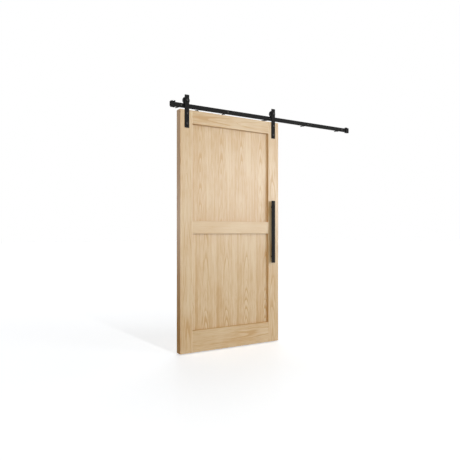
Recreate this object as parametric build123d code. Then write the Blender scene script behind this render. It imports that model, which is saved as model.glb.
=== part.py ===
"""Sliding oak barn door: a framed two-panel leaf hung from a flat steel track.

Frame: X runs along the track to the right as seen from the room, Y runs from the room to the
wall, Z is up. The origin is on the wall, on the axis of the middle track bolt.
All sizes are in millimetres.
"""
import os

from build123d import *

# leaf
LEAF_WIDTH = 1067.0
LEAF_HEIGHT = 2134.0
LEAF_THICKNESS = 70.0
STILE_WIDTH = 120.0
TOP_RAIL_HEIGHT = 116.0
MID_RAIL_HEIGHT = 113.0
BOTTOM_RAIL_HEIGHT = 192.0
PANEL_THICKNESS = 22.0
GROOVE_DEPTH = 12.0
PANEL_EXPANSION_GAP = 2.0
ARRIS = 1.2

# track on the wall
TRACK_LENGTH = 2134.0
TRACK_HEIGHT = 40.0
TRACK_THICKNESS = 6.0
TRACK_BOLT_COUNT = 5
TRACK_BOLT_FROM_END = 107.0
TRACK_BOLT_DIAMETER = 10.0
BOLT_THREAD_DIAMETER = 9.0
BOLT_IN_WALL = 45.0
BOLT_POINT_LENGTH = 8.0
BOLT_POINT_DIAMETER = 2.0
SPACER_DIAMETER = 18.0
LEAF_TO_WALL = 12.0
TRACK_ABOVE_LEAF = 15.0
LEAF_FROM_LEFT_BUMPER = 44.0

# hangers
STRAP_INSET = 64.0
STRAP_WIDTH = 43.0
STRAP_THICKNESS = 6.0
STRAP_ABOVE_AXLE = 47.0
STRAP_CORNER_RADIUS = 3.0
STRAP_EDGE_BREAK = 0.8
STRAP_BOLT_FROM_TOP = 34.0
STRAP_BOLT_SPACING = 88.0
STRAP_BELOW_BOLT = 36.0
STRAP_BOLT_DIAMETER = 10.0
CAP_DIAMETER = 24.0
CAP_HEIGHT = 4.0
CAP_EDGE_BREAK = 1.4
CAP_THREAD_DEPTH = 2.0

# wheels and axles
TREAD_RADIUS = 28.0
FLANGE_DEPTH = 5.0
TREAD_SIDE_CLEARANCE = 1.5
WHEEL_WIDTH = 18.0
WHEEL_TO_STRAP = 6.0
FLANGE_SLOPE = 1.5
RIM_WALL = 5.0
RIM_EDGE_BREAK = 1.0
HUB_WALL = 7.0
DISH_DEPTH = 1.5
AXLE_DIAMETER = 12.0
AXLE_SPACER_DIAMETER = 22.0
AXLE_END_PAST_NUT = 2.0

# clearances
RUNNING_GAP = 0.3
AXLE_CLEARANCE = 0.05
THREAD_CLEARANCE = 0.02
HOLE_CLEARANCE = 0.3

# hexagon heads and nuts
BOLT_HEAD_FLATS = 16.0
BOLT_HEAD_HEIGHT = 6.5
AXLE_HEAD_FLATS = 19.0
AXLE_HEAD_HEIGHT = 7.5
AXLE_NUT_HEIGHT = 10.0
HEAD_EDGE_BREAK = 1.4

# end stops
STOP_FROM_TRACK_END = 7.0
STOP_LENGTH = 34.0
STOP_WALL = 7.0
STOP_CAP = 6.0
STOP_CORNER_RADIUS = 5.0
BUMPER_THICKNESS = 8.0
BUMPER_RISE = 5.0
BUMPER_SIDE = 2.5
BUMPER_EDGE_RADIUS = 2.0
STOP_SCREW_DIAMETER = 6.0
STOP_SCREW_FLATS = 10.0
STOP_SCREW_HEAD_HEIGHT = 5.0
STOP_SCREW_HEAD_BREAK = 1.0

# discs that keep the leaf from jumping off the track
DISC_INSET = 171.0
DISC_DIAMETER = 36.0
DISC_TO_TRACK = 6.0
DISC_BEHIND_TRACK = 5.0
DISC_EDGE_BREAK = 1.0
DISC_SCREW_DIAMETER = 6.0
DISC_SCREW_IN_LEAF = 40.0
DISC_SCREW_HEAD_DIAMETER = 12.0
DISC_SCREW_HEAD_HEIGHT = 5.0
DISC_SCREW_SUNK = 1.0
DISC_SCREW_SLOT_LENGTH = 6.5
DISC_SCREW_SLOT_WIDTH = 1.4
DISC_SCREW_SLOT_DEPTH = 1.2

# pull handle
HANDLE_INSET = 80.0
HANDLE_LENGTH = 600.0
HANDLE_WIDTH = 40.0
HANDLE_THICKNESS = 6.0
HANDLE_CORNER_RADIUS = 2.0
HANDLE_EDGE_BREAK = 0.8
HANDLE_STANDOFF = 24.0
HANDLE_POST_DIAMETER = 16.0
HANDLE_POST_FROM_END = 60.0
HANDLE_BOLT_DIAMETER = 6.0
HANDLE_BOLT_IN_POST = 16.0
HANDLE_BOLT_HEAD_DIAMETER = 13.0
HANDLE_BOLT_HEAD_HEIGHT = 3.5
HANDLE_BOLT_HEAD_BREAK = 1.2
HANDLE_BOLT_SOCKET = 4.0
HANDLE_BOLT_SOCKET_DEPTH = 2.5

# places across the wall, from the wall into the room
LEAF_BACK_Y = -LEAF_TO_WALL
LEAF_FRONT_Y = LEAF_BACK_Y - LEAF_THICKNESS
LEAF_MID_Y = (LEAF_FRONT_Y + LEAF_BACK_Y) / 2
PANEL_FRONT_Y = LEAF_MID_Y - PANEL_THICKNESS / 2
PANEL_BACK_Y = LEAF_MID_Y + PANEL_THICKNESS / 2
STRAP_FRONT_Y = LEAF_FRONT_Y - STRAP_THICKNESS
WHEEL_FRONT_Y = LEAF_FRONT_Y + WHEEL_TO_STRAP
WHEEL_MID_Y = WHEEL_FRONT_Y + WHEEL_WIDTH / 2
WHEEL_BACK_Y = WHEEL_FRONT_Y + WHEEL_WIDTH
TRACK_FRONT_Y = WHEEL_MID_Y - TRACK_THICKNESS / 2
TRACK_BACK_Y = WHEEL_MID_Y + TRACK_THICKNESS / 2
HANDLE_BACK_Y = LEAF_FRONT_Y - HANDLE_STANDOFF
DISC_Y = WHEEL_MID_Y + DISC_BEHIND_TRACK

# places along the track
TRACK_END_X = TRACK_LENGTH / 2
STOP_OUTER_X = TRACK_END_X - STOP_FROM_TRACK_END
STOP_INNER_X = STOP_OUTER_X - STOP_LENGTH
BUMPER_FACE_X = STOP_INNER_X - BUMPER_THICKNESS
TRACK_BOLT_PITCH = (TRACK_LENGTH - 2 * TRACK_BOLT_FROM_END) / (TRACK_BOLT_COUNT - 1)
TRACK_BOLT_XS = [TRACK_BOLT_FROM_END - TRACK_END_X + i * TRACK_BOLT_PITCH for i in range(TRACK_BOLT_COUNT)]
LEAF_LEFT_X = LEAF_FROM_LEFT_BUMPER - BUMPER_FACE_X
LEAF_RIGHT_X = LEAF_LEFT_X + LEAF_WIDTH
STRAP_XS = {"left": LEAF_LEFT_X + STRAP_INSET, "right": LEAF_RIGHT_X - STRAP_INSET}
DISC_XS = {"left": LEAF_LEFT_X + DISC_INSET, "right": LEAF_RIGHT_X - DISC_INSET}
HANDLE_X = LEAF_RIGHT_X - HANDLE_INSET

# heights, from the middle of the track
TRACK_TOP_Z = TRACK_HEIGHT / 2
LEAF_TOP_Z = -TRACK_TOP_Z - TRACK_ABOVE_LEAF
LEAF_BOTTOM_Z = LEAF_TOP_Z - LEAF_HEIGHT
PANEL_HEIGHT = (LEAF_HEIGHT - TOP_RAIL_HEIGHT - MID_RAIL_HEIGHT - BOTTOM_RAIL_HEIGHT) / 2
TOP_RAIL_LOW_Z = LEAF_TOP_Z - TOP_RAIL_HEIGHT
MID_RAIL_TOP_Z = TOP_RAIL_LOW_Z - PANEL_HEIGHT
MID_RAIL_LOW_Z = MID_RAIL_TOP_Z - MID_RAIL_HEIGHT
BOTTOM_RAIL_TOP_Z = LEAF_BOTTOM_Z + BOTTOM_RAIL_HEIGHT
AXLE_Z = TRACK_TOP_Z + TREAD_RADIUS
STRAP_TOP_Z = AXLE_Z + STRAP_ABOVE_AXLE
STRAP_BOLT_ZS = [LEAF_TOP_Z - STRAP_BOLT_FROM_TOP - i * STRAP_BOLT_SPACING for i in range(2)]
STRAP_LOW_Z = STRAP_BOLT_ZS[-1] - STRAP_BELOW_BOLT
STOP_TOP_Z = TRACK_TOP_Z + STOP_CAP
DISC_TOP_Z = -TRACK_TOP_Z - DISC_TO_TRACK
HANDLE_Z = (LEAF_TOP_Z + LEAF_BOTTOM_Z) / 2
HANDLE_POST_REACH = HANDLE_LENGTH / 2 - HANDLE_POST_FROM_END
HANDLE_POST_ZS = [HANDLE_Z + HANDLE_POST_REACH, HANDLE_Z - HANDLE_POST_REACH]


def slab(x0, x1, y0, y1, z0, z1):
    """A block between two corners."""
    block = Box(abs(x1 - x0), y1 - y0, z1 - z0)
    return Pos((x0 + x1) / 2, (y0 + y1) / 2, (z0 + z1) / 2) * block


def rod_y(x, z, y0, y1, diameter):
    """A round rod along Y."""
    rod = Cylinder(diameter / 2, y1 - y0, rotation=(90, 0, 0))
    return Pos(x, (y0 + y1) / 2, z) * rod


def rod_z(x, y, z0, z1, diameter):
    """A round rod along Z."""
    return Pos(x, y, (z0 + z1) / 2) * Cylinder(diameter / 2, z1 - z0)


def hexagon_y(x, z, y0, y1, flats):
    """A hexagon prism along Y."""
    plane = Plane(origin=(x, y0, z), x_dir=(1, 0, 0), z_dir=(0, 1, 0))
    return extrude(plane * RegularPolygon(flats / 2, 6, major_radius=False), y1 - y0)


def hexagon_head(x, z, y0, y1, flats, turned_end):
    """A bolt head or nut: a hexagon with its corners turned off at one end along Y."""
    blank = rod_y(x, z, y0, y1, flats * 2 / 3**0.5)
    rim = blank.edges().filter_by(GeomType.CIRCLE).sort_by(Axis.Y)[turned_end]
    return hexagon_y(x, z, y0, y1, flats) & chamfer(rim, HEAD_EDGE_BREAK)


def hex_bolt(x, z, y_seat, y_end, diameter, flats, head_height):
    """A bolt whose head sits on y_seat on the room side, and whose shank runs to y_end."""
    head = hexagon_head(x, z, y_seat - head_height, y_seat, flats, 0)
    return head + rod_y(x, z, y_seat, y_end, diameter)


def track_passage(x0, x1):
    """The room that the track takes in what is clamped round it."""
    return slab(x0, x1, TRACK_FRONT_Y, TRACK_BACK_Y, -TRACK_TOP_Z, TRACK_TOP_Z)


def groove(x0, x1, z0, z1):
    """The room of a panel groove, in the middle of the leaf's thickness."""
    return slab(x0, x1, PANEL_FRONT_Y, PANEL_BACK_Y, z0, z1)


def frame_member(x0, x1, z0, z1):
    """A length of frame timber with the arris taken off its front and back faces."""
    timber = slab(x0, x1, LEAF_FRONT_Y, LEAF_BACK_Y, z0, z1)
    faces = timber.faces().sort_by(Axis.Y)
    return chamfer(faces[0].edges() + faces[-1].edges(), ARRIS)


def stile(x0, groove_x):
    """An upright of the frame, grooved along its inner edge for the panels and the rail tenons."""
    post = frame_member(x0, x0 + STILE_WIDTH, LEAF_BOTTOM_Z, LEAF_TOP_Z)
    return post - groove(groove_x, groove_x + GROOVE_DEPTH, LEAF_BOTTOM_Z, LEAF_TOP_Z)


def left_stile():
    """The left upright, bored for the left strap's bolts."""
    post = stile(LEAF_LEFT_X, LEAF_LEFT_X + STILE_WIDTH - GROOVE_DEPTH)
    for z in STRAP_BOLT_ZS:
        post -= strap_bolt_hole(STRAP_XS["left"], z, LEAF_FRONT_Y, LEAF_BACK_Y)
    return post


def right_stile():
    """The right upright, bored for the right strap's bolts and the handle's bolts."""
    post = stile(LEAF_RIGHT_X - STILE_WIDTH, LEAF_RIGHT_X - STILE_WIDTH)
    for z in STRAP_BOLT_ZS:
        post -= strap_bolt_hole(STRAP_XS["right"], z, LEAF_FRONT_Y, LEAF_BACK_Y)
    for z in HANDLE_POST_ZS:
        post -= rod_y(HANDLE_X, z, LEAF_FRONT_Y, LEAF_BACK_Y, HANDLE_BOLT_DIAMETER + 2 * HOLE_CLEARANCE)
    return post


def cross_rail(z0, z1, panel_above, panel_below):
    """A rail between the stiles with a stub tenon at each end, grooved where a panel enters it."""
    x0 = LEAF_LEFT_X + STILE_WIDTH
    x1 = LEAF_RIGHT_X - STILE_WIDTH
    tenon_x0 = x0 - GROOVE_DEPTH
    tenon_x1 = x1 + GROOVE_DEPTH
    rail = frame_member(x0, x1, z0, z1) + groove(tenon_x0, tenon_x1, z0, z1)
    if panel_above:
        rail -= groove(tenon_x0, tenon_x1, z1 - GROOVE_DEPTH, z1)
    if panel_below:
        rail -= groove(tenon_x0, tenon_x1, z0, z0 + GROOVE_DEPTH)
    return rail


def top_rail():
    """The top rail, with pilot holes for the screws of the anti-jump discs."""
    rail = cross_rail(TOP_RAIL_LOW_Z, LEAF_TOP_Z, False, True)
    for x in DISC_XS.values():
        rail -= rod_z(x, DISC_Y, LEAF_TOP_Z - DISC_SCREW_IN_LEAF, LEAF_TOP_Z, DISC_SCREW_DIAMETER)
    return rail


def panel(z0, z1):
    """A flat panel whose edges enter the grooves all round, short of their bottoms."""
    seat = GROOVE_DEPTH - PANEL_EXPANSION_GAP
    x0 = LEAF_LEFT_X + STILE_WIDTH
    x1 = LEAF_RIGHT_X - STILE_WIDTH
    return groove(x0 - seat, x1 + seat, z0 - seat, z1 + seat)


def strap_bolt_hole(x, z, y0, y1):
    """A hole that a strap bolt passes through."""
    return rod_y(x, z, y0, y1, STRAP_BOLT_DIAMETER + 2 * HOLE_CLEARANCE)


def hanger_strap(x):
    """The flat strap that carries the leaf from its wheel."""
    half = STRAP_WIDTH / 2
    strap = slab(x - half, x + half, STRAP_FRONT_Y, LEAF_FRONT_Y, STRAP_LOW_Z, STRAP_TOP_Z)
    strap = fillet(strap.edges().filter_by(Axis.Y), STRAP_CORNER_RADIUS)
    strap = chamfer(strap.faces().sort_by(Axis.Y)[0].edges(), STRAP_EDGE_BREAK)
    for z in STRAP_BOLT_ZS:
        strap -= strap_bolt_hole(x, z, STRAP_FRONT_Y, LEAF_FRONT_Y)
    return strap - rod_y(x, AXLE_Z, STRAP_FRONT_Y, LEAF_FRONT_Y, AXLE_DIAMETER + 2 * HOLE_CLEARANCE)


def strap_bolt(x, z):
    """A bolt through a strap and the leaf, into the cap on the back."""
    end = LEAF_BACK_Y + CAP_THREAD_DEPTH
    return hex_bolt(x, z, STRAP_FRONT_Y, end, STRAP_BOLT_DIAMETER, BOLT_HEAD_FLATS, BOLT_HEAD_HEIGHT)


def strap_cap(x, z):
    """The low round nut on the back of the leaf that a strap bolt screws into."""
    cap = rod_y(x, z, LEAF_BACK_Y, LEAF_BACK_Y + CAP_HEIGHT, CAP_DIAMETER)
    cap = chamfer(cap.edges().filter_by(GeomType.CIRCLE).sort_by(Axis.Y)[-1], CAP_EDGE_BREAK)
    thread = STRAP_BOLT_DIAMETER + 2 * THREAD_CLEARANCE
    return cap - rod_y(x, z, LEAF_BACK_Y, LEAF_BACK_Y + CAP_THREAD_DEPTH, thread)


def wheel(x):
    """A flanged wheel that runs on the top edge of the track, turned about its axle."""
    bore = AXLE_DIAMETER / 2 + AXLE_CLEARANCE
    tread = TREAD_RADIUS - RUNNING_GAP
    rim = TREAD_RADIUS + FLANGE_DEPTH
    side = WHEEL_WIDTH / 2
    gauge = TRACK_THICKNESS / 2 + TREAD_SIDE_CLEARANCE
    half_profile = [
        (bore, side),
        (bore + HUB_WALL, side),
        (bore + HUB_WALL, side - DISH_DEPTH),
        (rim - RIM_WALL, side - DISH_DEPTH),
        (rim - RIM_WALL, side),
        (rim - RIM_EDGE_BREAK, side),
        (rim, side - RIM_EDGE_BREAK),
        (rim, gauge + FLANGE_SLOPE),
        (tread, gauge),
    ]
    profile = half_profile + [(r, -y) for r, y in reversed(half_profile)]
    plane = Plane(origin=(x, WHEEL_MID_Y, AXLE_Z), x_dir=(1, 0, 0), z_dir=(0, 0, -1))
    section = plane * make_face(Polyline(*profile, close=True))
    return revolve(section, Axis((x, WHEEL_MID_Y, AXLE_Z), (0, 1, 0)))


def axle_bolt(x):
    """The bolt that a wheel turns on, from the strap's face to the nut behind the wheel."""
    end = WHEEL_BACK_Y + RUNNING_GAP + AXLE_NUT_HEIGHT + AXLE_END_PAST_NUT
    return hex_bolt(x, AXLE_Z, STRAP_FRONT_Y, end, AXLE_DIAMETER, AXLE_HEAD_FLATS, AXLE_HEAD_HEIGHT)


def axle_nut(x):
    """The lock nut behind a wheel."""
    y0 = WHEEL_BACK_Y + RUNNING_GAP
    y1 = y0 + AXLE_NUT_HEIGHT
    nut = hexagon_head(x, AXLE_Z, y0, y1, AXLE_HEAD_FLATS, -1)
    return nut - rod_y(x, AXLE_Z, y0, y1, AXLE_DIAMETER + 2 * THREAD_CLEARANCE)


def axle_spacer(x):
    """The sleeve between a strap and its wheel."""
    y1 = WHEEL_FRONT_Y - RUNNING_GAP
    sleeve = rod_y(x, AXLE_Z, LEAF_FRONT_Y, y1, AXLE_SPACER_DIAMETER)
    return sleeve - rod_y(x, AXLE_Z, LEAF_FRONT_Y, y1, AXLE_DIAMETER + 2 * THREAD_CLEARANCE)


def anti_jump_disc(x):
    """The disc on top of the leaf that reaches under the track."""
    disc = rod_z(x, DISC_Y, LEAF_TOP_Z, DISC_TOP_Z, DISC_DIAMETER)
    disc = chamfer(disc.edges().sort_by(Axis.Z)[-1], DISC_EDGE_BREAK)
    seat = disc_screw_body(x, HOLE_CLEARANCE)
    recess = rod_z(
        x, DISC_Y, DISC_TOP_Z - DISC_SCREW_SUNK, DISC_TOP_Z, DISC_SCREW_HEAD_DIAMETER + 2 * HOLE_CLEARANCE
    )
    return disc - seat - recess


def disc_screw_body(x, clearance):
    """The countersunk form of a disc's screw."""
    head_z1 = DISC_TOP_Z - DISC_SCREW_SUNK
    head_z0 = head_z1 - DISC_SCREW_HEAD_HEIGHT
    shank = DISC_SCREW_DIAMETER / 2 + clearance
    cone = Cone(shank, DISC_SCREW_HEAD_DIAMETER / 2 + clearance, DISC_SCREW_HEAD_HEIGHT)
    head = Pos(x, DISC_Y, (head_z0 + head_z1) / 2) * cone
    return head + rod_z(x, DISC_Y, LEAF_TOP_Z - DISC_SCREW_IN_LEAF, head_z0, 2 * shank)


def disc_screw(x):
    """The flat-headed wood screw in the middle of a disc, with a cross slot."""
    top = DISC_TOP_Z - DISC_SCREW_SUNK
    along = Box(DISC_SCREW_SLOT_LENGTH, DISC_SCREW_SLOT_WIDTH, DISC_SCREW_SLOT_DEPTH)
    across = Box(DISC_SCREW_SLOT_WIDTH, DISC_SCREW_SLOT_LENGTH, DISC_SCREW_SLOT_DEPTH)
    slot = Pos(x, DISC_Y, top - DISC_SCREW_SLOT_DEPTH / 2) * (along + across)
    return disc_screw_body(x, 0) - slot


def handle_bar():
    """The flat bar of the pull handle."""
    half = HANDLE_WIDTH / 2
    front = HANDLE_BACK_Y - HANDLE_THICKNESS
    z0 = HANDLE_Z - HANDLE_LENGTH / 2
    z1 = HANDLE_Z + HANDLE_LENGTH / 2
    bar = slab(HANDLE_X - half, HANDLE_X + half, front, HANDLE_BACK_Y, z0, z1)
    bar = fillet(bar.edges().filter_by(Axis.Y), HANDLE_CORNER_RADIUS)
    return chamfer(bar.faces().sort_by(Axis.Y)[0].edges(), HANDLE_EDGE_BREAK)


def handle_post(z):
    """A round post that carries the handle off the leaf, bored for its bolt."""
    post = rod_y(HANDLE_X, z, HANDLE_BACK_Y, LEAF_FRONT_Y, HANDLE_POST_DIAMETER)
    thread = HANDLE_BOLT_DIAMETER + 2 * THREAD_CLEARANCE
    return post - rod_y(HANDLE_X, z, LEAF_FRONT_Y - HANDLE_BOLT_IN_POST, LEAF_FRONT_Y, thread)


def handle_bolt(z):
    """The socket-headed bolt that comes through the stile from the back into a handle post."""
    top = LEAF_BACK_Y + HANDLE_BOLT_HEAD_HEIGHT
    head = rod_y(HANDLE_X, z, LEAF_BACK_Y, top, HANDLE_BOLT_HEAD_DIAMETER)
    head = chamfer(head.edges().filter_by(GeomType.CIRCLE).sort_by(Axis.Y)[-1], HANDLE_BOLT_HEAD_BREAK)
    head -= hexagon_y(HANDLE_X, z, top - HANDLE_BOLT_SOCKET_DEPTH, top, HANDLE_BOLT_SOCKET)
    return head + rod_y(HANDLE_X, z, LEAF_FRONT_Y - HANDLE_BOLT_IN_POST, LEAF_BACK_Y, HANDLE_BOLT_DIAMETER)


def track_bar():
    """The flat bar that the wheels run on."""
    bar = track_passage(-TRACK_END_X, TRACK_END_X)
    for x in TRACK_BOLT_XS:
        bar -= rod_y(x, 0, TRACK_FRONT_Y, TRACK_BACK_Y, TRACK_BOLT_DIAMETER + 2 * HOLE_CLEARANCE)
    return bar


def wall_spacer(x):
    """The tube that holds the track off the wall."""
    tube = rod_y(x, 0, TRACK_BACK_Y, 0, SPACER_DIAMETER)
    return tube - rod_y(x, 0, TRACK_BACK_Y, 0, TRACK_BOLT_DIAMETER + 2 * HOLE_CLEARANCE)


def track_bolt(x):
    """The coach bolt that goes through the track and a spacer into the wall."""
    thread_end = BOLT_IN_WALL - BOLT_POINT_LENGTH
    bolt = hex_bolt(x, 0, TRACK_FRONT_Y, 0, TRACK_BOLT_DIAMETER, BOLT_HEAD_FLATS, BOLT_HEAD_HEIGHT)
    bolt += rod_y(x, 0, 0, thread_end, BOLT_THREAD_DIAMETER)
    plane = Plane(origin=(x, thread_end + BOLT_POINT_LENGTH / 2, 0), x_dir=(1, 0, 0), z_dir=(0, 1, 0))
    return bolt + plane * Cone(BOLT_THREAD_DIAMETER / 2, BOLT_POINT_DIAMETER / 2, BOLT_POINT_LENGTH)


def end_stop(side):
    """The block that is clamped round the track near one end, rounded at its outer corners."""
    outer = side * STOP_OUTER_X
    inner = side * STOP_INNER_X
    y0 = TRACK_FRONT_Y - STOP_WALL
    y1 = TRACK_BACK_Y + STOP_WALL
    block = slab(inner, outer, y0, y1, -STOP_TOP_Z, STOP_TOP_Z)
    corners = block.edges().filter_by(Axis.Z).group_by(Axis.X)
    block = fillet(corners[-1] if side > 0 else corners[0], STOP_CORNER_RADIUS)
    block -= track_passage(inner, outer)
    return block - stop_screw_shank(side, STOP_SCREW_DIAMETER + 2 * THREAD_CLEARANCE)


def stop_screw_shank(side, diameter):
    """The shank of a stop's screw, from the stop's top down to the track's top edge."""
    x = side * (STOP_OUTER_X + STOP_INNER_X) / 2
    return rod_z(x, WHEEL_MID_Y, TRACK_TOP_Z, STOP_TOP_Z, diameter)


def stop_screw(side):
    """The hexagon-headed screw in the top of a stop, which bears on the track's top edge."""
    shank = stop_screw_shank(side, STOP_SCREW_DIAMETER)
    seat = shank.faces().sort_by(Axis.Z)[-1].center()
    hexagon = Plane(origin=seat) * RegularPolygon(STOP_SCREW_FLATS / 2, 6, major_radius=False)
    head = extrude(hexagon, STOP_SCREW_HEAD_HEIGHT)
    return shank + chamfer(head.faces().sort_by(Axis.Z)[-1].edges(), STOP_SCREW_HEAD_BREAK)


def bumper(side):
    """The rubber pad on the inner face of a stop, which the wheel meets."""
    seat = side * STOP_INNER_X
    face = side * BUMPER_FACE_X
    y0 = TRACK_FRONT_Y - STOP_WALL - BUMPER_SIDE
    y1 = TRACK_BACK_Y + STOP_WALL + BUMPER_SIDE
    pad = slab(seat, face, y0, y1, -STOP_TOP_Z, STOP_TOP_Z + BUMPER_RISE)
    inner_face = pad.faces().sort_by(Axis.X)[0 if side > 0 else -1]
    return fillet(inner_face.edges(), BUMPER_EDGE_RADIUS) - track_passage(seat, face)


def build():
    """Every named piece of the door."""
    nodes = {"track_bar": track_bar()}
    for i, x in enumerate(TRACK_BOLT_XS, 1):
        nodes[f"wall_spacer_{i}"] = wall_spacer(x)
        nodes[f"track_bolt_{i}"] = track_bolt(x)
    for name, side in (("left", -1), ("right", 1)):
        nodes[f"{name}_end_stop"] = end_stop(side)
        nodes[f"{name}_stop_bumper"] = bumper(side)
        nodes[f"{name}_stop_screw"] = stop_screw(side)

    nodes["left_stile"] = left_stile()
    nodes["right_stile"] = right_stile()
    nodes["top_rail"] = top_rail()
    nodes["mid_rail"] = cross_rail(MID_RAIL_LOW_Z, MID_RAIL_TOP_Z, True, True)
    nodes["bottom_rail"] = cross_rail(LEAF_BOTTOM_Z, BOTTOM_RAIL_TOP_Z, True, False)
    nodes["upper_panel"] = panel(MID_RAIL_TOP_Z, TOP_RAIL_LOW_Z)
    nodes["lower_panel"] = panel(BOTTOM_RAIL_TOP_Z, MID_RAIL_LOW_Z)

    for name, x in STRAP_XS.items():
        nodes[f"{name}_hanger_strap"] = hanger_strap(x)
        nodes[f"{name}_wheel"] = wheel(x)
        nodes[f"{name}_axle_bolt"] = axle_bolt(x)
        nodes[f"{name}_axle_nut"] = axle_nut(x)
        nodes[f"{name}_axle_spacer"] = axle_spacer(x)
        nodes[f"{name}_strap_bolts"] = Compound([strap_bolt(x, z) for z in STRAP_BOLT_ZS])
        nodes[f"{name}_strap_caps"] = Compound([strap_cap(x, z) for z in STRAP_BOLT_ZS])
    for name, x in DISC_XS.items():
        nodes[f"{name}_anti_jump_disc"] = anti_jump_disc(x)
    nodes["anti_jump_screws"] = Compound([disc_screw(x) for x in DISC_XS.values()])
    nodes["handle_bar"] = handle_bar()
    nodes["handle_posts"] = Compound([handle_post(z) for z in HANDLE_POST_ZS])
    nodes["handle_bolts"] = Compound([handle_bolt(z) for z in HANDLE_POST_ZS])
    return nodes


os.makedirs("parts", exist_ok=True)
for node, shape in build().items():
    export_step(shape, f"parts/{node}.step")
print("pieces written")
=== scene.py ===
"""Looks of the sliding oak barn door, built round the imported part.

Metres throughout, in the part's own frame: X along the track, Y from the room into the wall, Z up.
"""
import math

import bmesh
import bpy
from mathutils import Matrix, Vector

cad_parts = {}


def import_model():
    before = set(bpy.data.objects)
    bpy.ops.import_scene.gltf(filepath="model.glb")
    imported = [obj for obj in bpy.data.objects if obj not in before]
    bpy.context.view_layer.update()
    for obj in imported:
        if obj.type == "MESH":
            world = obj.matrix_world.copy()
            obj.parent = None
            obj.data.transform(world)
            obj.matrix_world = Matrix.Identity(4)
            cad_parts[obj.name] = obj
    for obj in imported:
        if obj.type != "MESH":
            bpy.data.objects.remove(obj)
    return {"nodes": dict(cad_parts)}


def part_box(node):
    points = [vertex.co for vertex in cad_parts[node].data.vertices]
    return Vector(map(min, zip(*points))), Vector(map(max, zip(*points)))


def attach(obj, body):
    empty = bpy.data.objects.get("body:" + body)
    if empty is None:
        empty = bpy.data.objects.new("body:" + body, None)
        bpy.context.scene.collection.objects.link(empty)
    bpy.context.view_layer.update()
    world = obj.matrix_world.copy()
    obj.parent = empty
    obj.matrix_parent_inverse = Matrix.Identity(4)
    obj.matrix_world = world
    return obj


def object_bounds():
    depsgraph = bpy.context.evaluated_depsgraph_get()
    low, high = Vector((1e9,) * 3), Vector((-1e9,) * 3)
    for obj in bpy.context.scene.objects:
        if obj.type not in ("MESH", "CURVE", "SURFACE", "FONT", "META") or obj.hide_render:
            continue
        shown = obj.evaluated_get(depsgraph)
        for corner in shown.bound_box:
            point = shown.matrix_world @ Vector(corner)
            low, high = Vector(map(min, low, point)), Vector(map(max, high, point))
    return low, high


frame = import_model()
CAD_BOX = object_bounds()
NODES = frame["nodes"]

WHITE = (1, 1, 1, 1)

# the photograph's camera: level, turned to the right of the wall's normal
CAMERA_PLACE = (-2.84309, -3.90224, -1.11735)
CAMERA_YAW = 31.899
CAMERA_LENS = 38.170
CAMERA_SENSOR = 36.0
CAMERA_SHIFT_Y = 0.00728
CAMERA_REACH = 200.0

# studio: even fill from all round, and lamps (place, target, width and height, watts)
FILL = 0.18
LAMPS = {
    # a tall strip in the plane of the leaf's left edge: the crisp wedge of shadow on the floor
    "key": ((-0.50, -8.48, 10.00), (-0.95, 0.30, -2.18), (0.45, 10.0), 390.0),
    # far off in front: the thin lines under the rails
    "front": ((-10.50, -15.00, 5.15), (-0.44, -0.08, -1.40), (2.0, 2.0), 950.0),
    # low, behind on the left: the sheen on the leaf's left edge
    "rim": ((-6.60, 11.40, -0.65), (-1.00, -0.05, -1.00), (4.0, 2.0), 88.0),
    # large and soft, behind: the back of the leaf, and the soft zone on the floor in front of it
    "back": ((2.70, 4.80, 8.00), (-0.44, 0.00, -1.10), (5.0, 5.0), 270.0),
    # where the leaf mirrors the camera to: the satin sheen on the front
    "sheen": ((4.65, -6.90, 0.20), (-0.20, -0.08, -0.62), (3.2, 2.0), 165.0),
}

# floor: its glow at its middle, near it and far off, and the distances over which that changes
FLOOR_GAP = 0.010
FLOOR_HALF = 60.0
FLOOR_COLOUR = (0.78, 0.80, 0.82, 1)
FLOOR_MIDDLE = (-0.45, -0.45)
FLOOR_GLOW = (0.498, 0.508, 0.88)
# the glow is a little lower at the middle: a faint painted shade under the part
FLOOR_SHADE_DIP = (0.2, 1.1)
FLOOR_RISE = (1.5, 14.0)
FLOOR_GLOSS = 0.18
FLOOR_GLOSS_ROUGHNESS = 0.22
FLOOR_GLOSS_IOR = 1.30

# wall ends of the track bolts
BOLT_CORE = 0.0045
BOLT_POINT = 0.0010
BOLT_POINT_LENGTH = 0.008
THREAD_PITCH = 0.0035
THREAD_HEIGHT = 0.0006
THREAD_FOOT = 0.0016
THREAD_SEAT = 0.0002
THREAD_STEPS = 32

# oak, linear colours from light late wood to the dark pores, and where its tone passes between them
OAK_LIGHT = (0.676, 0.504, 0.288, 1)
OAK_MID = (0.612, 0.420, 0.208, 1)
OAK_DARK = (0.522, 0.300, 0.098, 1)
OAK_PORE = (0.440, 0.222, 0.055, 1)
DARK_TO_MID = (0.0, 0.52)
MID_TO_LIGHT = (0.48, 1.00)
PLAIN_TONE = 0.58

# noise drawn out along the grain: waves a metre across it and along it, seed and detail
WAVES = {
    "bend": (3.0, 1.5, 0.0, 2.0),       # the log's slow bends
    "waver": (38.0, 7.0, 4.0, 3.0),     # the unsteady lines of single rings
    "streak": (70.0, 1.0, 12.0, 3.0),   # marks the length of the board
    "fleck": (100.0, 11.0, 16.0, 2.0),  # marks shorter than the board
    "cloud": (6.0, 3.0, 20.0, 2.0),     # broad changes of tone
    "dash": (900.0, 26.0, 24.0, 1.0),   # pores
}
STREAK_TONE = 0.95
FLECK_TONE = 0.85
CLOUD_TONE = 1.10
BAND_TONE = -0.62

# a year's growth, in shares of its width
EARLY_FADE = (0.02, 0.55)
LATE_RISE = (0.55, 0.86)
LATE_FALL = (0.90, 0.95)
LATE_SHARE = 0.30

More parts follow.
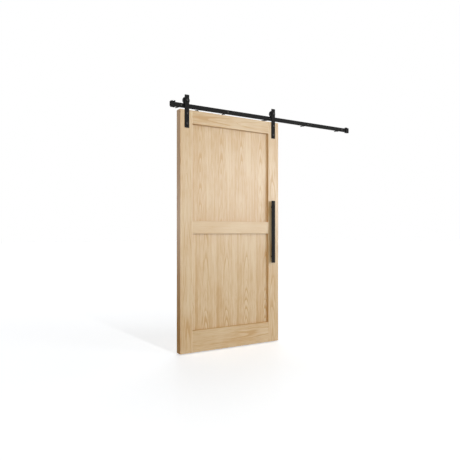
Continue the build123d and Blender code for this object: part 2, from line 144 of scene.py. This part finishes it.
# how rings differ: the waver of their lines, spells of quick and slow growth, faint and clear years
WAVER_WIDTH = 0.005
SPELL_SCALE = 3.1
SPELL_SEED = 8.0
SPELL_LENGTH = 0.22
YEAR_CHANGE = 0.61
YEAR_SCALE = 3.4
RING_CLEAR = (0.38, 0.64)
RING_FAINT = 0.08

# pores: the dashes that count as one, the share that only early wood has, and their colour's share
PORE_SIZE = (0.06, 0.20)
PORE_EARLY = 0.75
PORE_DEPTH = 0.30

# the foot of a panel: darker, partly a painted shade where the sheen falls off, and heartwood
# with stronger marks and rings that flare to the root
FOOT_SHADE_DROP = 0.17
HEART_FIGURE = 0.95
HEART_RINGS = 0.22
HEART_FLARE = 0.022

# veneer: leaves across a panel, and how each differs from the last: slid along, cut deeper, seed
VENEER_LEAVES = 3.85
LEAF_SLIP = 0.021
LEAF_DEPTH = 0.0011
LEAF_SEED = 0.45

# edges: the turn to the front or back that makes a surface a face, and factors for edges' colour:
# a painted shade, warmer and darker, on the sides and, darker still, on the stiles' lipped side
# faces
FACE_TURN = (0.35, 0.80)
OAK_EDGE_SHADE = (1.00, 0.92, 0.85, 1)
OAK_LIPPING_SHADE = (0.76, 0.68, 0.62, 1)
LIPPING = 0.008
LIPPING_BLUR = 0.0004
LIPPING_FRONT = 0.6

# the left stile's arris beside the panel, which has a tongue behind the stile: a painted highlight,
# pale in flecks
PANEL_TONGUE = 0.010
OAK_ARRIS_HIGHLIGHT = (0.760, 0.590, 0.370, 1)
ARRIS = (0.006, 0.010)
HIGHLIGHT_SHARE = 0.7
HIGHLIGHT_FLECK = 1.2

# lacquer: full on the faces; on the edges it is thinner, and worn away from a height to the floor
LACQUER_IOR = 1.60
LACQUER_ROUGHNESS = 0.38
LACQUER_SPECULAR = 0.50
EDGE_COAT = 0.5
EDGE_WEAR = (-1.95, -0.95)
WOOD_ROUGHNESS = 0.38
EDGE_ROUGHER = 0.24
BAND_ROUGHER = 0.08
PORE_ROUGHER = 0.12
FIGURE_RELIEF = 0.25
WOOD_BUMP = (0.18, 0.0004)

# black finishes: linear colours, roughness and what its marks add, specular, bump's strength, depth
COAT_DEEP = (0.0050, 0.0050, 0.0049, 1)
COAT_PALE = (0.0085, 0.0083, 0.0079, 1)
COAT_RUBBED = (0.022, 0.021, 0.020, 1)
COAT_RUB_SHARE = 0.35
COAT_ROUGHNESS = 0.50
PATCH_ROUGHER = 0.14
RUB_ROUGHER = -0.08
COAT_SPECULAR = 0.14
COAT_BUMP = (0.12, 0.0002)

ZINC_DEEP = (0.016, 0.016, 0.015, 1)
ZINC_PALE = (0.040, 0.038, 0.035, 1)
ZINC_ROUGHNESS = (0.46, 0.34)
ZINC_SPECULAR = 0.35
ZINC_BUMP = (0.08, 0.0001)

NYLON_BLACK = (0.012, 0.012, 0.012, 1)
NYLON_SCUFFED = (0.034, 0.033, 0.031, 1)
NYLON_SCUFF_SHARE = 0.5
NYLON_ROUGHNESS = 0.40
SCUFF_ROUGHER = 0.2
NYLON_SPECULAR = 0.30
NYLON_BUMP = (0.10, 0.0001)

RUBBER_BLACK = (0.010, 0.010, 0.010, 1)
RUBBER_BLOOM = (0.024, 0.024, 0.023, 1)
RUBBER_ROUGHNESS = 0.70
BLOOM_ROUGHER = 0.15
RUBBER_SPECULAR = 0.20
RUBBER_BUMP = (0.2, 0.0002)


class Graph:
    """A small helper to write shader nodes as expressions."""

    def __init__(self, name):
        self.material = bpy.data.materials.new(name)
        self.material.use_nodes = True
        self.tree = self.material.node_tree
        self.tree.nodes.clear()
        self.output = self.tree.nodes.new("ShaderNodeOutputMaterial")

    def put(self, socket, value):
        """Set a socket from another socket or from a constant."""
        if isinstance(value, bpy.types.NodeSocket):
            self.tree.links.new(value, socket)
        else:
            socket.default_value = value

    def node(self, kind, inputs=None, **settings):
        """A node with its settings and inputs."""
        node = self.tree.nodes.new(kind)
        for key, value in settings.items():
            setattr(node, key, value)
        for key, value in (inputs or {}).items():
            self.put(node.inputs[key], value)
        return node

    def math(self, operation, a, b=0.0):
        return self.node("ShaderNodeMath", {0: a, 1: b}, operation=operation).outputs[0]

    def add(self, a, b):
        return self.math("ADD", a, b)

    def sub(self, a, b):
        return self.math("SUBTRACT", a, b)

    def mul(self, a, b):
        return self.math("MULTIPLY", a, b)

    def weigh(self, *terms):
        """The sum of values, each times its weight."""
        total = self.mul(*terms[0])
        for value, weight in terms[1:]:
            total = self.add(total, self.mul(value, weight))
        return total

    def coords(self):
        """The three object coordinates, in metres of the part's own frame."""
        return self.split(self.node("ShaderNodeTexCoord").outputs["Object"])

    def split(self, vector):
        return tuple(self.node("ShaderNodeSeparateXYZ", {0: vector}).outputs)

    def vector(self, x, y, z):
        return self.node("ShaderNodeCombineXYZ", {0: x, 1: y, 2: z}).outputs[0]

    def noise(self, vector, scale=1.0, detail=2.0, roughness=0.5):
        inputs = {"Vector": vector, "Scale": scale, "Detail": detail, "Roughness": roughness}
        return self.node("ShaderNodeTexNoise", inputs).outputs[0]

    def waves(self, kind, place, seed):
        """Noise about zero that is drawn out along the grain."""
        across, lengthwise, own_seed, detail = WAVES[kind]
        wide, deep, along = place
        stretched = self.vector(
            self.mul(wide, across),
            self.add(self.mul(deep, across), seed + own_seed),
            self.mul(along, lengthwise),
        )
        return self.sub(self.noise(stretched, detail=detail), 0.5)

    def ramp(self, value, low, high, to_low=0.0, to_high=1.0, smooth=True):
        """From to_low, where the value is low or less, to to_high, where it is high or more."""
        inputs = {
            "Value": value, "From Min": low, "From Max": high, "To Min": to_low, "To Max": to_high,
        }
        kind = "SMOOTHSTEP" if smooth else "LINEAR"
        node = self.node("ShaderNodeMapRange", inputs, interpolation_type=kind, clamp=True)
        return node.outputs[0]

    def strip(self, x, edge, side, full, end):
        """1 along an upright edge, 0 past a width; side is the way from the edge into the board."""
        return self.ramp(self.mul(self.sub(x, edge), side), full, end, 1.0, 0.0)

    def mix(self, factor, a, b, blend="MIX"):
        node = self.node("ShaderNodeMix", data_type="RGBA", blend_type=blend)
        self.put(node.inputs["Factor"], factor)
        self.put(node.inputs[6], a)
        self.put(node.inputs[7], b)
        return node.outputs[2]

    def bump(self, height, strength, distance):
        inputs = {"Strength": strength, "Distance": distance, "Height": height}
        return self.node("ShaderNodeBump", inputs).outputs[0]

    def surface(self, inputs):
        """A principled surface with these inputs, wired to the output."""
        shader = self.node("ShaderNodeBsdfPrincipled", inputs)
        self.tree.links.new(shader.outputs[0], self.output.inputs["Surface"])
        return self.material


def slip_match(g, place, start, width, seed):
    """Veneer leaves side by side from start, each cut a little further on in the same log.

    Returns the place in the log, how far across its leaf it is (-0.5 to 0.5) and a leaf's seed.
    """
    wide, deep, along = place
    turn = g.math("DIVIDE", g.sub(wide, start), width)
    leaf = g.math("FLOOR", turn)
    within = g.sub(g.math("FRACT", turn), 0.5)
    cut = (
        g.mul(within, width),
        g.add(deep, g.mul(leaf, LEAF_DEPTH)),
        g.add(along, g.mul(leaf, LEAF_SLIP)),
    )
    return cut, within, g.add(g.mul(leaf, LEAF_SEED), seed)


def growth(g, place, pith, ring, lean, sway, flare, seed):
    """The year in which a place in the log grew, and how far through that year's growth it is."""
    wide, deep, along = place
    spell_place = g.vector(0.0, seed + SPELL_SEED, g.mul(along, SPELL_SCALE))
    spell = g.sub(g.noise(spell_place), 0.5)
    out_wide = g.add(g.sub(wide, pith[0]), g.mul(g.waves("bend", place, seed), sway * 2))
    out_deep = g.sub(deep, pith[1])
    radius = g.math("SQRT", g.add(g.mul(out_wide, out_wide), g.mul(out_deep, out_deep)))
    drift = g.sub(g.mul(g.add(along, g.mul(spell, SPELL_LENGTH)), lean), flare)
    waver = g.mul(g.waves("waver", place, seed), WAVER_WIDTH)
    age = g.math("DIVIDE", g.add(g.add(radius, drift), waver), ring)
    return g.math("FLOOR", age), g.math("FRACT", age)


def ring_band(g, season):
    """How early in its year the wood grew, and a year's band: dark where early, pale where late."""
    early = g.sub(1.0, g.ramp(season, *EARLY_FADE))
    late = g.mul(g.ramp(season, *LATE_RISE), g.ramp(season, *LATE_FALL, 1.0, 0.0))
    dark = g.math("MAXIMUM", early, g.ramp(season, LATE_FALL[1], 1.0))
    return early, g.sub(dark, g.mul(late, LATE_SHARE))


def oak_figure(
    g, place, pith, ring, lean, seed, sway=0.03, tone=0.0, figure=1.0, leaves=None, foot=None
):
    """The figure of a board sawn from a log: its tone, ring bands, pores and flecks.

    place is the place in the board (across the grain, depth, along), pith that of the log's heart
    (across, depth), ring the width of a year's growth, lean how fast the rings drift along the
    board and sway how far the log bends. tone makes the board paler and figure its marks stronger.
    leaves (start, width, step) lays slip-matched veneer, each leaf dark at one edge and paler by
    step at the other. foot (bottom, top) are the heights between which the heartwood's figure and
    a painted shade at the panel's foot fade out.
    """
    level, year_seed = PLAIN_TONE + tone, seed
    faint, flare = RING_FAINT, 0.0
    # these two run on over the leaves
    fleck = g.waves("fleck", place, seed)
    cloud = g.waves("cloud", place, seed)
    if leaves:
        start, width, step = leaves
        place, within, year_seed = slip_match(g, place, start, width, seed)
    along = place[2]
    if foot:
        # darker towards the foot, partly a painted shade where the sheen falls off; stronger figure
        # there
        heart_and_shade = g.ramp(along, *foot, 1.0, 0.0)
        level = g.sub(level, g.mul(heart_and_shade, FOOT_SHADE_DROP))
        figure = g.add(g.mul(heart_and_shade, HEART_FIGURE), figure)
        faint = g.add(g.mul(heart_and_shade, HEART_RINGS), faint)
        flare = g.mul(heart_and_shade, HEART_FLARE)
    if leaves:
        # a cube, so that the tone changes near the edges: half a step at within = 0.5
        edges = g.mul(g.mul(within, within), g.mul(within, 4.0 * step))
        level = g.add(level, g.mul(edges, figure))

    year, season = growth(g, place, pith, ring, lean, sway, flare, seed)
    early, band = ring_band(g, season)
    year_place = g.vector(g.mul(year, YEAR_CHANGE), year_seed, g.mul(along, YEAR_SCALE))
    strength = g.noise(year_place, detail=1.0)
    band = g.mul(band, g.ramp(strength, *RING_CLEAR, faint, 1.0))

    # pores are short dashes, thick in the early wood
    dash = g.waves("dash", place, seed)
    crowd = g.add(g.mul(early, PORE_EARLY), 1.0 - PORE_EARLY)
    pores = g.mul(g.ramp(dash, *PORE_SIZE), crowd)
    streak = g.waves("streak", place, seed)
    marks = g.weigh((streak, STREAK_TONE), (fleck, FLECK_TONE), (band, BAND_TONE))
    level = g.add(g.add(level, g.mul(cloud, CLOUD_TONE)), g.mul(marks, figure))
    return level, band, pores, fleck


def oak(name, grain, lipping_shade=None, arris_highlight=None, **log):
    """Lacquered oak with its grain along an axis; log says how the board is cut, see oak_figure.

    lipping_shade (edge, side) is a darker strip along an outer edge of a stile: a lipping, which
    also paints shade on the stile's side face. arris_highlight (edge, side) is an arris painted
    pale, a painted highlight.
    """
    g = Graph(name)
    x, y, z = g.coords()
    place = (x, y, z) if grain == "z" else (z, y, x)
    level, band, pores, fleck = oak_figure(g, place, **log)
    colour = g.mix(g.ramp(level, *DARK_TO_MID, smooth=False), OAK_DARK, OAK_MID)
    colour = g.mix(g.ramp(level, *MID_TO_LIGHT, smooth=False), colour, OAK_LIGHT)
    colour = g.mix(g.mul(pores, PORE_DEPTH), colour, OAK_PORE)

    # edges are cut across or sawn, so they carry less lacquer than the faces; their colour is also
    # multiplied warmer and darker, a painted shade on the side faces
    facing = g.split(g.node("ShaderNodeTexCoord").outputs["Normal"])[1]
    face = g.ramp(g.math("ABSOLUTE", facing), *FACE_TURN)
    raw = g.sub(1.0, face)
    if lipping_shade:
        strip = g.strip(x, *lipping_shade, LIPPING - LIPPING_BLUR, LIPPING + LIPPING_BLUR)
        # the lipping on the stile's side face is multiplied darker: its own colour and a painted
        # shade
        colour = g.mix(g.mul(strip, raw), colour, OAK_LIPPING_SHADE, blend="MULTIPLY")
        raw = g.math("MAXIMUM", raw, g.mul(strip, LIPPING_FRONT))
    # every edge multiplied warmer and darker: a painted shade
    colour = g.mix(raw, colour, OAK_EDGE_SHADE, blend="MULTIPLY")
    # a painted highlight along the left stile's arris, pale in flecks
    if arris_highlight:
        patchy = g.add(g.mul(fleck, HIGHLIGHT_FLECK), HIGHLIGHT_SHARE)
        highlight = g.mul(g.strip(x, *arris_highlight, *ARRIS), patchy)
        colour = g.mix(highlight, colour, OAK_ARRIS_HIGHLIGHT)
    rougher = g.weigh((raw, EDGE_ROUGHER), (band, BAND_ROUGHER), (pores, PORE_ROUGHER))
    coat = g.math("MAXIMUM", face, g.ramp(z, *EDGE_WEAR, 0.0, EDGE_COAT))
    height = g.sub(g.mul(level, FIGURE_RELIEF), pores)
    return g.surface({
        "Base Color": colour,
        "Roughness": g.add(rougher, WOOD_ROUGHNESS),
        "Specular IOR Level": g.mul(coat, LACQUER_SPECULAR),
        "Coat Weight": coat,
        "Coat IOR": LACQUER_IOR,
        "Coat Roughness": LACQUER_ROUGHNESS,
        "Normal": g.bump(height, *WOOD_BUMP),
    })


def powder_coat():
    """Matt black powder coat with a fine orange-peel and slight rub marks."""
    g = Graph("black_powder_coat")
    place = g.vector(*g.coords())
    peel = g.noise(place, scale=900.0)
    patch = g.noise(place, scale=16.0, detail=3.0)
    wear = g.noise(place, scale=60.0, detail=4.0, roughness=0.65)
    rub = g.ramp(wear, low=0.56, high=0.80)
    colour = g.mix(g.ramp(patch, low=0.3, high=0.7), COAT_DEEP, COAT_PALE)
    colour = g.mix(g.mul(rub, COAT_RUB_SHARE), colour, COAT_RUBBED)
    rougher = g.weigh((patch, PATCH_ROUGHER), (rub, RUB_ROUGHER))
    return g.surface({
        "Base Color": colour,
        "Roughness": g.add(rougher, COAT_ROUGHNESS),
        "Specular IOR Level": COAT_SPECULAR,
        "Normal": g.bump(peel, *COAT_BUMP),
    })


def black_zinc():
    """Blackened fasteners, a little greyer and shinier than the bars, with stains."""
    g = Graph("black_zinc")
    place = g.vector(*g.coords())
    stain = g.noise(place, scale=140.0, detail=3.0)
    turned = g.noise(place, scale=1500.0, detail=1.0)
    return g.surface({
        "Base Color": g.mix(g.ramp(stain, low=0.35, high=0.70), ZINC_DEEP, ZINC_PALE),
        "Roughness": g.ramp(stain, 0.3, 0.7, *ZINC_ROUGHNESS),
        "Specular IOR Level": ZINC_SPECULAR,
        "Normal": g.bump(turned, *ZINC_BUMP),
    })


def nylon():
    """Black moulded nylon, scuffed."""
    g = Graph("black_nylon")
    place = g.vector(*g.coords())
    grain = g.noise(place, scale=1400.0, detail=1.0)
    wear = g.noise(place, scale=120.0, detail=4.0, roughness=0.7)
    scuff = g.ramp(wear, low=0.52, high=0.78)
    return g.surface({
        "Base Color": g.mix(g.mul(scuff, NYLON_SCUFF_SHARE), NYLON_BLACK, NYLON_SCUFFED),
        "Roughness": g.add(NYLON_ROUGHNESS, g.mul(scuff, SCUFF_ROUGHER)),
        "Specular IOR Level": NYLON_SPECULAR,
        "Normal": g.bump(grain, *NYLON_BUMP),
    })


def rubber():
    """Black rubber with a dusty bloom."""
    g = Graph("black_rubber")
    place = g.vector(*g.coords())
    bloom = g.noise(place, scale=45.0, detail=4.0, roughness=0.6)
    grain = g.noise(place, scale=1600.0, detail=1.0)
    return g.surface({
        "Base Color": g.mix(g.ramp(bloom, low=0.4, high=0.75), RUBBER_BLACK, RUBBER_BLOOM),
        "Roughness": g.add(RUBBER_ROUGHNESS, g.mul(bloom, BLOOM_ROUGHER)),
        "Specular IOR Level": RUBBER_SPECULAR,
        "Normal": g.bump(grain, *RUBBER_BUMP),
    })


def paint(node, material):
    """Give a CAD node its material."""
    mesh = NODES[node].data
    mesh.materials.clear()
    mesh.materials.append(material)


def paint_wood():
    """Each board and panel from its own piece of oak."""
    left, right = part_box("left_stile"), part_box("right_stile")
    top, mid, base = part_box("top_rail"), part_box("mid_rail"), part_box("bottom_rail")
    upper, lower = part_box("upper_panel"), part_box("lower_panel")
    face = left[0].y
    panel_face = upper[0].y
    veneer = (upper[1].x - upper[0].x) / VENEER_LEAVES
    boards = {
        "left_stile": dict(
            grain="z", pith=(left[0].x + 0.070, face + 0.060), ring=0.0088, lean=0.026, seed=3.1,
            sway=0.05, lipping_shade=(left[0].x, 1.0), arris_highlight=(upper[0].x + PANEL_TONGUE, -1.0),
        ),
        "right_stile": dict(
            grain="z", pith=(right[0].x + 0.050, face + 0.055), ring=0.0092, lean=0.030, seed=7.7,
            sway=0.06, figure=1.2, lipping_shade=(right[1].x, -1.0),
        ),
        "top_rail": dict(
            grain="x", pith=(top[0].z + 0.060, face + 0.062), ring=0.0090, lean=-0.026, seed=12.9,
        ),
        "mid_rail": dict(
            grain="x", pith=(mid[0].z + 0.150, face + 0.070), ring=0.0070, lean=0.016, seed=17.3,
            tone=0.03, figure=0.5,
        ),
        "bottom_rail": dict(
            grain="x", pith=(base[0].z + 0.110, face + 0.072), ring=0.0095, lean=0.024, seed=23.4,
            sway=0.05,
        ),
        "upper_panel": dict(
            grain="z", pith=(0.0, panel_face + 0.038), ring=0.0074, lean=0.052, seed=31.6,
            sway=0.012, tone=-0.03, figure=1.55, leaves=(upper[0].x - 0.012, veneer, 0.12),
        ),
        "lower_panel": dict(
            grain="z", pith=(0.0, panel_face + 0.036), ring=0.0100, lean=0.050, seed=38.2,
            sway=0.016, tone=0.08, figure=1.15, leaves=(lower[0].x + 0.047, veneer, 0.65),
            foot=(-1.98, -1.50),
        ),
    }
    for node, board in boards.items():
        paint(node, oak("oak_" + node, **board))
    return set(boards)


def paint_hardware(wood):
    """Every node that isn't wood; returns the fasteners' material."""
    coat, zinc = powder_coat(), black_zinc()
    wheels, pads = nylon(), rubber()
    for node in NODES:
        if node in wood:
            continue
        if node.endswith("_wheel"):
            paint(node, wheels)
        elif node.endswith("_bumper"):
            paint(node, pads)
        elif any(word in node for word in ("bolt", "screw", "nut", "caps")):
            paint(node, zinc)
        else:
            paint(node, coat)
    return zinc


def thread_row(form, centre, y, angle, core, fade):
    """One cut across a thread: its foot, crest and foot, sunk a little into the bolt's core."""
    foot = THREAD_FOOT / 2
    row = []
    for rise, shift in ((-THREAD_SEAT, -foot), (THREAD_HEIGHT * fade, 0.0), (-THREAD_SEAT, foot)):
        radius = core + rise
        place = (centre + radius * math.cos(angle), y + shift, radius * math.sin(angle))
        row.append(form.verts.new(place))
    return row


def bolt_thread(form, low, high):
    """The thread on one track bolt, along its core and on over the cone of its point."""
    cone_y = high.y - BOLT_POINT_LENGTH
    steps = round((high.y - THREAD_PITCH) / THREAD_PITCH * THREAD_STEPS)
    rows = []
    for i in range(steps + 1):
        y = THREAD_PITCH / 2 + i * THREAD_PITCH / THREAD_STEPS
        angle = 2 * math.pi * i / THREAD_STEPS
        slim = max(0.0, y - cone_y) / BOLT_POINT_LENGTH
        core = BOLT_CORE + (BOLT_POINT - BOLT_CORE) * slim
        fade = min(1.0, i / THREAD_STEPS, (steps - i) / THREAD_STEPS)
        rows.append(thread_row(form, (low.x + high.x) / 2, y, angle, core, fade))
    for before, after in zip(rows, rows[1:]):
        for k in range(2):
            form.faces.new((before[k], before[k + 1], after[k + 1], after[k]))


def bolt_threads(material):
    """The screw threads on the wall ends of the track bolts, as one piece on the track."""
    form = bmesh.new()
    for node in sorted(n for n in NODES if n.startswith("track_bolt_")):
        bolt_thread(form, *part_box(node))
    bmesh.ops.recalc_face_normals(form, faces=form.faces)
    mesh = bpy.data.meshes.new("track_bolt_threads")
    form.to_mesh(mesh)
    form.free()
    mesh.materials.append(material)
    piece = bpy.data.objects.new("track_bolt_threads", mesh)
    bpy.context.scene.collection.objects.link(piece)
    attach(piece, "track")


def seen_directly(tree):
    """1 for rays from the camera, a mirror or through glass, 0 for the light on surfaces."""
    path = tree.nodes.new("ShaderNodeLightPath").outputs
    seen = path["Is Camera Ray"]
    for ray in ("Is Glossy Ray", "Is Transmission Ray"):
        either = tree.nodes.new("ShaderNodeMath")
        either.operation = "MAXIMUM"
        tree.links.new(seen, either.inputs[0])
        tree.links.new(path[ray], either.inputs[1])
        seen = either.outputs[0]
    return seen


def floor_material():
    """A pale floor that glows to white where it is lit, a little less under the part as a faint
    painted shade, with a faint gloss.
    """
    g = Graph("studio_floor")
    x, y, _ = g.coords()
    from_middle = g.vector(g.sub(x, FLOOR_MIDDLE[0]), g.sub(y, FLOOR_MIDDLE[1]), 0.0)
    reach = g.node("ShaderNodeVectorMath", {0: from_middle}, operation="LENGTH").outputs["Value"]
    foot, near, far = FLOOR_GLOW
    # less glow under the part than near it: a faint painted shade
    shade_dip = g.ramp(reach, *FLOOR_SHADE_DIP, foot, near)
    rise = g.ramp(reach, *FLOOR_RISE, 0.0, far - near, smooth=False)
    glow = g.mul(g.add(shade_dip, rise), seen_directly(g.tree))
    matt = g.node("ShaderNodeBsdfDiffuse", {"Color": FLOOR_COLOUR})
    lift = g.node("ShaderNodeEmission", {"Color": WHITE, "Strength": glow})
    both = g.node("ShaderNodeAddShader", {0: matt.outputs[0], 1: lift.outputs[0]})
    gloss = g.node("ShaderNodeBsdfGlossy", {"Color": WHITE, "Roughness": FLOOR_GLOSS_ROUGHNESS})
    fresnel = g.node("ShaderNodeFresnel", {"IOR": FLOOR_GLOSS_IOR})
    amount = g.mul(fresnel.outputs[0], FLOOR_GLOSS)
    mix = g.node("ShaderNodeMixShader", {0: amount, 1: both.outputs[0], 2: gloss.outputs[0]})
    g.tree.links.new(mix.outputs[0], g.output.inputs["Surface"])
    return g.material


def floor():
    """The studio floor, which takes the part's shadow and a faint reflection."""
    z = CAD_BOX[0][2] - FLOOR_GAP
    corners = ((-1, -1), (1, -1), (1, 1), (-1, 1))
    mesh = bpy.data.meshes.new("floor")
    mesh.from_pydata([(x * FLOOR_HALF, y * FLOOR_HALF, z) for x, y in corners], [], [(0, 1, 2, 3)])
    mesh.materials.append(floor_material())
    plane = bpy.data.objects.new("floor", mesh)
    bpy.context.scene.collection.objects.link(plane)


def world():
    """Even studio fill, and white behind the part."""
    sky = bpy.data.worlds.new("studio")
    bpy.context.scene.world = sky
    sky.use_nodes = True
    tree = sky.node_tree
    tree.nodes.clear()
    level = tree.nodes.new("ShaderNodeMapRange")
    tree.links.new(seen_directly(tree), level.inputs["Value"])
    level.inputs["To Min"].default_value = FILL
    level.inputs["To Max"].default_value = 1.0
    shade = tree.nodes.new("ShaderNodeBackground")
    shade.inputs["Color"].default_value = WHITE
    tree.links.new(level.outputs[0], shade.inputs["Strength"])
    out = tree.nodes.new("ShaderNodeOutputWorld")
    tree.links.new(shade.outputs[0], out.inputs["Surface"])


def softbox(name, place, target, size, watts):
    """A soft lamp of this width and height at a place, turned to a target."""
    lamp = bpy.data.lights.new(name, "AREA")
    lamp.shape = "RECTANGLE"
    lamp.size, lamp.size_y = size
    lamp.energy = watts
    holder = bpy.data.objects.new(name, lamp)
    holder.location = place
    holder.rotation_euler = (Vector(target) - Vector(place)).to_track_quat("-Z", "Y").to_euler()
    bpy.context.scene.collection.objects.link(holder)


def camera():
    """The photograph's view."""
    lens = bpy.data.cameras.new("camera")
    lens.lens = CAMERA_LENS
    lens.sensor_width = CAMERA_SENSOR
    lens.shift_y = CAMERA_SHIFT_Y
    lens.clip_end = CAMERA_REACH
    holder = bpy.data.objects.new("camera", lens)
    holder.location = CAMERA_PLACE
    # unturned, a camera looks straight down
    holder.rotation_euler = (math.radians(90), 0, -math.radians(CAMERA_YAW))
    bpy.context.scene.collection.objects.link(holder)
    bpy.context.scene.camera = holder


zinc = paint_hardware(paint_wood())
bolt_threads(zinc)
floor()
world()
for name, lamp in LAMPS.items():
    softbox(name, *lamp)
camera()
bpy.context.scene.view_settings.view_transform = "Standard"
